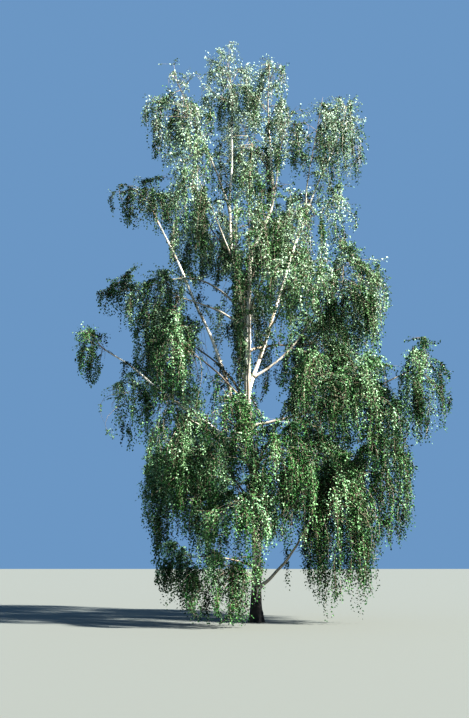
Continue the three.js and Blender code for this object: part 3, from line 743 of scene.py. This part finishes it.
def shoots_of(branchlets, centre, half, rng):
    """Hanging shoots of a mass, each as long as the room below it allows."""
    start, turn, end = (np.repeat(ends, SHOOTS_ON_BRANCHLET, axis=0) for ends in branchlets)
    count = len(start)
    tresses = count // SHOOTS_IN_TRESS

    def by_tress(values):
        return np.repeat(values, SHOOTS_IN_TRESS)

    place = np.tile((np.arange(TRESSES) + 0.5) / TRESSES, len(branchlets[0]))
    place = np.clip(place + rng.normal(0, TRESS_SHIFT, tresses), 0, 1)
    part = np.clip(by_tress(place) + rng.normal(0, SHOOT_SHIFT, count), 0, 1)
    root = arc(start, turn, end, lerp(TRESS_SPAN, part)[:, None])
    outward = np.arctan2(root[:, 1] - centre[..., 1], root[:, 0] - centre[..., 0])
    from_top = (np.arange(tresses) + 0.5) / tresses
    spray_share = lerp(SPRAY_SHARES, 1 - from_top) * lerp(SPRAYS_BY_HEIGHT, root[:, 2].mean() / CROWN_TOP)
    spray = by_tress(rng.random(tresses) < spray_share)
    own_turn = rng.normal(0, 1, count) * np.where(spray, SPRAY_TURN, OWN_TURN)
    azimuth = outward + by_tress(rng.normal(0, SHOOT_TURN, tresses)) + own_turn
    clump_tone = np.repeat(rng.normal(0, CLUMP_TONE, count // SHOOTS_IN_CLUMP), SHOOTS_IN_CLUMP)
    lean = by_tress(lerp(SHOOT_LEAN, rng.random(tresses))) * rng.uniform(*OWN_LEAN, count)
    drop = by_tress(lerp(SHOOT_DROP, rng.random(tresses))) * rng.uniform(*OWN_DROP, count)
    lean = np.where(spray, lerp(SPRAY_LEAN, rng.random(count)), lean)
    upright = upright_part((np.arange(count) + 0.5) / count) * part
    drop = drop * (1 - upright + upright * by_tress(lerp(UPRIGHT_DROP, rng.random(tresses))))
    drop = np.where(spray, lerp(SPRAY_DROP, rng.random(count)), drop)
    out = np.stack([np.cos(azimuth), np.sin(azimuth), np.zeros(count)], axis=-1) * lean[:, None]
    near, far = (np.linalg.norm(((ends - centre) / half)[:, :2], axis=1) for ends in (root, root + out))
    kept = np.clip((FARTHEST_REACH - near) / np.maximum(far - near, LEAST_DIVISOR), LEAST_REACH_KEPT, 1)
    lean, out = lean * kept, out * kept[:, None]
    room = np.minimum(room_below(root, centre, half), room_below(root + out, centre, half))
    used = by_tress(lerp(ROOM_USED, rng.random(tresses))) * lerp(ROOM_OF_SHOOT, rng.random(count))
    room = np.minimum(room * used, root[:, 2] - SHOOT_CLEARANCE)
    tress_tone = by_tress(rng.normal(0, TRESS_TONE, tresses))
    shoots = {
        "root": root,
        "azimuth": azimuth,
        "lean": lean * np.clip(room / np.maximum(drop, LEAST_DIVISOR), LEAST_LEAN_KEPT, 1),
        "drop": np.minimum(drop, room),
        "tone": clump_tone + tress_tone + rng.normal(0, SHOOT_TONE, count),
        "luck": by_tress(rng.random(tresses)),
        "phase": rng.uniform(0, 2 * math.pi, count),
    }
    clear = [~opened(hang(shoots, np.full(count, probe)), shoots["luck"]) for probe in SHOOT_PROBES]
    reach = np.cumprod(clear, axis=0).mean(axis=0)
    shoots["drop"] = shoots["drop"] * reach**HANG_POWER
    shoots["lean"] = shoots["lean"] * reach
    return picked(shoots, np.abs(shoots["drop"]) + shoots["lean"] > SHOOT_LEAST_LENGTH)


# Leaves.
LEAF_OUTLINE = np.array([
    (0.00, 0.00),
    (0.34, 0.50),
    (1.00, 0.00),
    (0.34, -0.50),
])
LEAF_FACES = np.array([(0, 2, 1), (0, 3, 2)])


def leaf_mesh(leaves):
    """Vertices and triangles of many leaves, each folded a little along its midrib."""
    wide = unit(np.cross(leaves["along"], leaves["facing"]))
    normal = np.cross(wide, leaves["along"])
    length = leaves["length"][:, None, None]
    down_blade = LEAF_OUTLINE[:, :1] * leaves["along"][:, None]
    over_blade = LEAF_OUTLINE[:, 1:] * LEAF_WIDTH * wide[:, None]
    folded = np.abs(LEAF_OUTLINE[:, 1:]) * LEAF_WIDTH * LEAF_FOLD * 2 * normal[:, None]
    vertices = leaves["root"][:, None] + length * (down_blade + over_blade + folded)
    offsets = np.arange(len(vertices))[:, None, None] * len(LEAF_OUTLINE)
    return vertices.reshape(-1, 3), (LEAF_FACES[None] + offsets).reshape(-1, 3)


def leaves_on_shoots(shoots, rng):
    length = np.abs(shoots["drop"]) + shoots["lean"] / 2
    counts = np.maximum(length / LEAF_SPACING, FEWEST_LEAVES).astype(int)
    owner = np.repeat(np.arange(len(counts)), counts)
    order = np.arange(counts.sum()) - np.repeat(np.cumsum(counts) - counts, counts)
    total = len(owner)
    part = (order + 0.5 + rng.uniform(-LEAF_SHIFT, LEAF_SHIFT, total)) / counts[owner]
    own = picked(shoots, owner)
    turn = own["phase"] + order * math.pi + rng.normal(0, LEAF_TURN, total)
    tone = own["tone"] + YOUNG_LEAF_TONE * (part - 0.5)
    return turned_leaves(hang(own, part), turn, tone, -LEAF_DROOP, rng)


def leaves_on_branchlets(branchlets, rng):
    start, turn, end = (np.repeat(ends, SPUR_LEAVES, axis=0) for ends in branchlets)
    total = len(start)
    spurs = total // SPUR_LEAVES
    root = arc(start, turn, end, rng.uniform(*SPUR_SPAN, total)[:, None])
    tone = np.repeat(rng.normal(0, 1, spurs), SPUR_LEAVES)
    luck = np.repeat(rng.random(spurs), SPUR_LEAVES)
    keep = ~opened(root, luck)
    return turned_leaves(root[keep], rng.uniform(0, 2 * math.pi, keep.sum()), tone[keep], SPUR_LIFT, rng)


def turned_leaves(root, turn, tone, lift, rng):
    total = len(root)
    sideways = np.stack([np.cos(turn), np.sin(turn), np.zeros(total)], axis=-1)
    along = unit(sideways * LEAF_SPREAD + UP * lift + rng.normal(0, LEAF_WANDER, (total, 3)))
    facing = unit(sideways + UP * LEAF_FACE_UP + rng.normal(0, LEAF_ROLL_WANDER, (total, 3)))
    root = root + sideways * lerp(LEAF_STALK, rng.random((total, 1)))
    length = lerp(LEAF_LENGTH, rng.random(total))
    return {"root": root, "along": along, "facing": facing, "length": length, "tone": tone}


def near_limb(points, radius):
    """True for each point that lies on or in a limb."""
    near = np.zeros(len(points), bool)
    low, high = points.min(axis=0), points.max(axis=0)
    for limb in limbs.values():
        path, radii = limb.path[::LIMB_STRIDE], limb.radii[::LIMB_STRIDE]
        limb_low, limb_high = path.min(axis=0) - LIMB_BOX_MARGIN, path.max(axis=0) + LIMB_BOX_MARGIN
        if (limb_low > high).any() or (limb_high < low).any():
            continue
        for begin, end, thick in zip(path, path[1:], radii):
            run = end - begin
            part = np.clip(((points - begin) @ run) / (run @ run), 0, 1)
            away = np.linalg.norm(points - begin - part[:, None] * run, axis=1)
            near |= away < thick + radius
    return near


# Growth of the crown.
beyond = np.array(cad_high - cad_low) * BEYOND_SOLIDS
box_low, box_high = np.array(cad_low) - beyond, np.array(cad_high) + beyond


def in_box(points):
    return ((points > box_low) & (points < box_high)).all(axis=-1)


stems, branchlet_paths, shoot_sets, leaf_sets = {}, {}, {}, {}
for number, name in enumerate(MASSES):
    limb = next(limb for limb in limbs.values() if limb.mass == name)
    centre, half = mass_shape(name)
    half = half * SPREAD
    rng = np.random.default_rng(MASS_SEED + MASS_SEED_STEP * number)
    stem = stem_of(limb)
    branchlets = branchlets_of(stem, centre, half, MASS_TURN * number, rng)
    wisps, spaces = wisps_of(limb, rng)
    spaces = np.repeat(spaces, SHOOTS_ON_BRANCHLET, axis=0)
    groups = [shoots_of(branchlets, centre, half, rng), shoots_of(wisps, spaces, WISP_HALF, rng)]
    shoots = {key: np.concatenate([group[key] for group in groups]) for key in groups[0]}
    shoot_tips = hang(shoots, np.ones_like(shoots["drop"]))
    shoots = picked(shoots, in_box(shoots["root"]) & in_box(shoot_tips))
    branchlets = tuple(np.clip(np.concatenate(ends), box_low, box_high) for ends in zip(branchlets, wisps))
    leaf_groups = [leaves_on_shoots(shoots, rng), leaves_on_branchlets(branchlets, rng)]
    leaves = {key: np.concatenate([group[key] for group in leaf_groups]) for key in leaf_groups[0]}
    # Painted shade and light: whole masses darker or paler, and each mass paler at its top and darker at
    # its bottom.
    leaves["tone"] += painted_mass_shade(name) + PAINTED_LIGHT_UP_A_MASS * (leaves["root"][:, 2] - centre[2]) / half[2]
    middle = leaves["root"] + leaves["along"] * leaves["length"][:, None] / 2
    tip = leaves["root"] + leaves["along"] * leaves["length"][:, None]
    keep = (tip[:, 2] > GROUND_CLEARANCE) & in_box(tip) & ~near_limb(middle, LIMB_CLEARANCE)
    stems[name] = (stem, limb.radii[-1])
    branchlet_paths[name] = branchlets
    shoot_sets[name] = shoots
    leaf_sets[name] = picked(leaves, keep)


# Finish of the leaves, bark and twigs. A mark is a noise, with its stretch along each axis, its size and
# detail, and the values where the mark begins and where it is full.
LEAF_ROUGHNESS = 0.50
LEAF_SPECULAR = 0.35
PATCHES = ((1, 1, 0.5), 3.2, 3.0, (0.50, 0.70))
DASHES = ((1, 1, 9), 15.0, 2.0, (0.66, 0.70))
SCARS = ((1, 1, 0.7), 5.0, 5.0, (0.66, 0.70))
STREAKS = ((1, 1, 1), 9.0, 3.0, (0.40, 0.62))
CRACK_STRETCH = (1, 1, 0.32)
CRACK_SIZE = 14.0
CRACK_DETAIL = 4.0
CRACK_EDGES = (0.62, 0.72)
CRACK_HEIGHTS = (1.9, 0.1)
CRACKS_BY_HEIGHT = (0.0, 0.42)
BARK_ROUGHNESS = 0.62
BARK_BUMP = 0.5
BARK_BUMP_DEPTH = 0.004
TWIG_ROUGHNESS = 0.55
WHITE = (0.70, 0.67, 0.61)
BUFF = (0.52, 0.42, 0.33)
LENTICEL = (0.10, 0.075, 0.06)
FISSURE = (0.035, 0.030, 0.026)
GREY_BROWN = (0.27, 0.22, 0.175)
PALE_GREY = (0.42, 0.38, 0.33)
BARK_BROWN = (0.22, 0.16, 0.12)
TWIG_BROWN = (0.13, 0.075, 0.05)

# Leaf greens from the deepest to the palest, and the tint that each tier gives them: the tints are painted
# shade, darker and greener in the lower tiers.
LEAF_GREENS = {
    "deep": (0.020, 0.060, 0.026),
    "green": (0.045, 0.112, 0.045),
    "grass": (0.095, 0.185, 0.080),
    "yellow": (0.190, 0.280, 0.182),
    "pale": (0.360, 0.455, 0.372),
}
PAINTED_SHADE_TINTS = {
    "top": (1.00, 1.00, 1.00),
    "upper": (0.92, 0.98, 0.88),
    "middle": (0.77, 0.93, 0.74),
    "low": (0.70, 0.90, 0.66),
}

# Sockets of a Mix node that mixes colours.
MIX_FACTOR = 0
MIX_FIRST = 6
MIX_SECOND = 7
MIX_RESULT = 2


# Materials.
def node_material(name):
    material = bpy.data.materials.new(name)
    material.use_nodes = True
    nodes, links = material.node_tree.nodes, material.node_tree.links
    return material, nodes, links, nodes["Principled BSDF"]


def leaf_material(name, colour):
    material, _, _, shader = node_material(name)
    shader.inputs["Base Color"].default_value = (*colour, 1)
    shader.inputs["Roughness"].default_value = LEAF_ROUGHNESS
    shader.inputs["Specular IOR Level"].default_value = LEAF_SPECULAR
    return material


def add_node(nodes, kind, **settings):
    node = nodes.new(kind)
    for key, value in settings.items():
        setattr(node, key, value)
    return node


def stretched_noise(nodes, links, place, scale, size, detail):
    """A noise that is stretched by scale along each axis."""
    mapping = add_node(nodes, "ShaderNodeMapping")
    mapping.inputs["Scale"].default_value = scale
    links.new(place, mapping.inputs["Vector"])
    texture = add_node(nodes, "ShaderNodeTexNoise")
    texture.inputs["Scale"].default_value = size
    texture.inputs["Detail"].default_value = detail
    links.new(mapping.outputs["Vector"], texture.inputs["Vector"])
    return texture.outputs["Fac"]


def stepped(nodes, links, value, low, high):
    """0 below low, 1 above high, and smooth between them."""
    node = add_node(nodes, "ShaderNodeMapRange", interpolation_type="SMOOTHSTEP")
    node.inputs["From Min"].default_value = low
    node.inputs["From Max"].default_value = high
    links.new(value, node.inputs["Value"])
    return node.outputs["Result"]


def marks(nodes, links, place, scale, size, detail, edges):
    """0 beside the marks that a stretched noise makes, and 1 in them."""
    return stepped(nodes, links, stretched_noise(nodes, links, place, scale, size, detail), *edges)


def mixed(nodes, links, factor, first, second):
    """Colour between first and second; each is a colour or a socket."""
    node = add_node(nodes, "ShaderNodeMix", data_type="RGBA")
    links.new(factor, node.inputs[MIX_FACTOR])
    for socket, colour in ((node.inputs[MIX_FIRST], first), (node.inputs[MIX_SECOND], second)):
        if isinstance(colour, tuple):
            socket.default_value = (*colour, 1)
        else:
            links.new(colour, socket)
    return node.outputs[MIX_RESULT]


def combined(nodes, links, operation, first, second):
    node = add_node(nodes, "ShaderNodeMath", operation=operation, use_clamp=True)
    for socket, value in zip(node.inputs, (first, second)):
        if isinstance(value, float):
            socket.default_value = value
        else:
            links.new(value, socket)
    return node.outputs[0]


def bark_material(name, pale, warm, foot):
    """Papery bark with buff patches and short level dashes, dark and fissured at the foot."""
    material, nodes, links, shader = node_material(name)
    place = add_node(nodes, "ShaderNodeTexCoord").outputs["Object"]
    colour = mixed(nodes, links, marks(nodes, links, place, *PATCHES), pale, warm)
    dashes = marks(nodes, links, place, *DASHES)
    colour = mixed(nodes, links, dashes, colour, LENTICEL)
    colour = mixed(nodes, links, marks(nodes, links, place, *SCARS), colour, FISSURE)
    height = dashes
    if foot:
        split = add_node(nodes, "ShaderNodeSeparateXYZ")
        links.new(place, split.inputs[0])
        low = add_node(nodes, "ShaderNodeMapRange")
        low.inputs["From Min"].default_value = CRACK_HEIGHTS[0]
        low.inputs["From Max"].default_value = CRACK_HEIGHTS[1]
        low.inputs["To Min"].default_value = CRACKS_BY_HEIGHT[0]
        low.inputs["To Max"].default_value = CRACKS_BY_HEIGHT[1]
        links.new(split.outputs["Z"], low.inputs["Value"])
        cracks = stretched_noise(nodes, links, place, CRACK_STRETCH, CRACK_SIZE, CRACK_DETAIL)
        rough = combined(nodes, links, "ADD", cracks, low.outputs["Result"])
        dark = stepped(nodes, links, rough, *CRACK_EDGES)
        colour = mixed(nodes, links, dark, colour, FISSURE)
        height = combined(nodes, links, "MAXIMUM", dashes, dark)
    links.new(colour, shader.inputs["Base Color"])
    shader.inputs["Roughness"].default_value = BARK_ROUGHNESS
    bump = add_node(nodes, "ShaderNodeBump", invert=True)
    bump.inputs["Strength"].default_value = BARK_BUMP
    bump.inputs["Distance"].default_value = BARK_BUMP_DEPTH
    links.new(height, bump.inputs["Height"])
    links.new(bump.outputs["Normal"], shader.inputs["Normal"])
    return material


def twig_material():
    material, nodes, links, shader = node_material("twig")
    place = add_node(nodes, "ShaderNodeTexCoord").outputs["Object"]
    streaks = marks(nodes, links, place, *STREAKS)
    links.new(mixed(nodes, links, streaks, TWIG_BROWN, GREY_BROWN), shader.inputs["Base Color"])
    shader.inputs["Roughness"].default_value = TWIG_ROUGHNESS
    return material


white_bark = bark_material("white_bark", WHITE, BUFF, True)
bough_bark = bark_material("bough_bark", PALE_GREY, GREY_BROWN, False)
inner_bark = bark_material("inner_bark", GREY_BROWN, BARK_BROWN, False)
twig = twig_material()


# Pieces.
def piece(name, vertices, faces, material, slot, nodes, smooth):
    mesh = bpy.data.meshes.new(name)
    mesh.from_pydata(vertices.astype(np.float32), [], faces.astype(np.int32))
    mesh.materials.append(material)
    mesh.polygons.foreach_set("use_smooth", np.full(len(faces), smooth))
    mesh.update()
    made = bpy.data.objects.new(name, mesh)
    bpy.context.scene.collection.objects.link(made)
    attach(made, "root")
    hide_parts(*nodes)


def joined(parts):
    """One set of vertices and triangles from several."""
    vertices, faces, offset = [], [], 0
    for part_vertices, part_faces in parts:
        vertices.append(part_vertices)
        faces.append(part_faces + offset)
        offset += len(part_vertices)
    return np.concatenate(vertices), np.concatenate(faces)


inner = {}
for number, (key, limb) in enumerate(limbs.items()):
    rng = np.random.default_rng(BARK_SEED + number)
    if limb is trunk:
        mesh = bark_tube(limb, TRUNK_SIDES, TRUNK_RING_SPACING, rng)
    else:
        sides = LEADER_SIDES if limb.radii[0] > LEADER_RADIUS else BOUGH_SIDES
        mesh = bark_tube(limb, sides, LIMB_RING_SPACING, rng)
    if limb.name:
        white = limb.radii[0] > LEADER_RADIUS
        material, slot = (white_bark, "white_bark") if white else (bough_bark, "grey_bark")
        piece(f"{key}_bark", *mesh, material, slot, [key], True)
    else:
        inner[f"{limb.mass}_foliage"] = mesh
piece("inner_boughs", *joined(inner.values()), inner_bark, "grey_bark", list(inner), True)


def tier_of(name):
    height = MASSES[name][0][2]
    return next(tier for tier, floor in TIERS.items() if height > floor)


for tier in TIERS:
    names = [name for name in MASSES if tier_of(name) == tier]
    nodes = [f"{name}_foliage" for name in names]
    part = np.linspace(0, 1, STEM_RINGS)[:, None]
    wood = []
    for name in names:
        stem, radius = stems[name]
        stem_radii = lerp((radius, STEM_TIP_RADIUS), part[:, 0])
        wood.append(tubes(arc(*stem, part)[None], stem_radii, STEM_SIDES))
        start, turn, end = (ends[:, None] for ends in branchlet_paths[name])
        branchlet_part = np.linspace(0, 1, BRANCHLET_RINGS)[:, None]
        paths = arc(start, turn, end, branchlet_part)
        branchlet_radii = lerp((BRANCHLET_RADIUS, BRANCHLET_TIP_RADIUS), branchlet_part[:, 0])
        wood.append(tubes(paths, branchlet_radii, BRANCHLET_SIDES))
    piece(f"{tier}_branchlets", *joined(wood), inner_bark, "grey_bark", nodes, True)

    hanging = []
    for name in names:
        shoots = shoot_sets[name]
        columns = {key: values[:, None] for key, values in shoots.items()}
        shoot_part = np.linspace(0, 1, SHOOT_RINGS)[None]
        shoot_part = np.broadcast_to(shoot_part, (len(shoots["drop"]), SHOOT_RINGS))
        shoot_radii = lerp((SHOOT_RADIUS, SHOOT_TIP_RADIUS), shoot_part)
        hanging.append(tubes(hang(columns, shoot_part), shoot_radii, SHOOT_SIDES))
    piece(f"{tier}_hanging_shoots", *joined(hanging), twig, "grey_bark", nodes, False)

    leaves = {
        key: np.concatenate([leaf_sets[name][key] for name in names]) for key in leaf_sets[names[0]]
    }
    # Painted light: paler leaves higher in the crown, darker ones lower down.
    tone = leaves["tone"] + PAINTED_LIGHT_BY_HEIGHT * (leaves["root"][:, 2] - TONE_MIDDLE)
    shade = np.digitize(tone, TONE_EDGES)
    for index, (label, colour) in enumerate(LEAF_GREENS.items()):
        # Each green is tinted by its tier, a painted shade: darker and greener lower in the crown.
        material = leaf_material(f"{tier}_leaf_{label}", np.multiply(colour, PAINTED_SHADE_TINTS[tier]))
        mesh = leaf_mesh(picked(leaves, shade == index))
        piece(f"{tier}_leaves_{label}", *mesh, material, "foliage", nodes, False)

# Floor.
FLOOR_HALF = 120.0
FLOOR_COLOUR = (0.155, 0.163, 0.150)
FLOOR_ROUGHNESS = 0.9
floor_mesh = bpy.data.meshes.new("floor")
floor_corners = [(x * FLOOR_HALF, y * FLOOR_HALF, 0) for x, y in ((-1, -1), (1, -1), (1, 1), (-1, 1))]
floor_mesh.from_pydata(floor_corners, [], [(0, 1, 2, 3)])
floor_material, _, _, floor_shader = node_material("floor")
floor_shader.inputs["Base Color"].default_value = (*FLOOR_COLOUR, 1)
floor_shader.inputs["Roughness"].default_value = FLOOR_ROUGHNESS
floor_mesh.materials.append(floor_material)
floor = bpy.data.objects.new("floor", floor_mesh)
bpy.context.scene.collection.objects.link(floor)

# Light: a high key from the right and a little in front, and a soft pale sky all round.
SUN_FROM = Vector((0.82, -0.46, 0.62))
SUN_STRENGTH = 14.0
SUN_ANGLE = math.radians(3)
SUN_COLOUR = (1.0, 0.97, 0.89)
SKY_COLOUR = (0.36, 0.63, 1.0)
SKY_STRENGTH = 0.43
sun = bpy.data.objects.new("sun", bpy.data.lights.new("sun", "SUN"))
sun.data.energy = SUN_STRENGTH
sun.data.angle = SUN_ANGLE
sun.data.color = SUN_COLOUR
sun.rotation_euler = SUN_FROM.to_track_quat("Z", "Y").to_euler()
bpy.context.scene.collection.objects.link(sun)
world = bpy.data.worlds.new("sky")
world.use_nodes = True
background = world.node_tree.nodes["Background"]
background.inputs["Color"].default_value = (*SKY_COLOUR, 1)
background.inputs["Strength"].default_value = SKY_STRENGTH
bpy.context.scene.world = world
bpy.context.scene.view_settings.view_transform = "Standard"
bpy.context.scene.view_settings.look = "High Contrast"
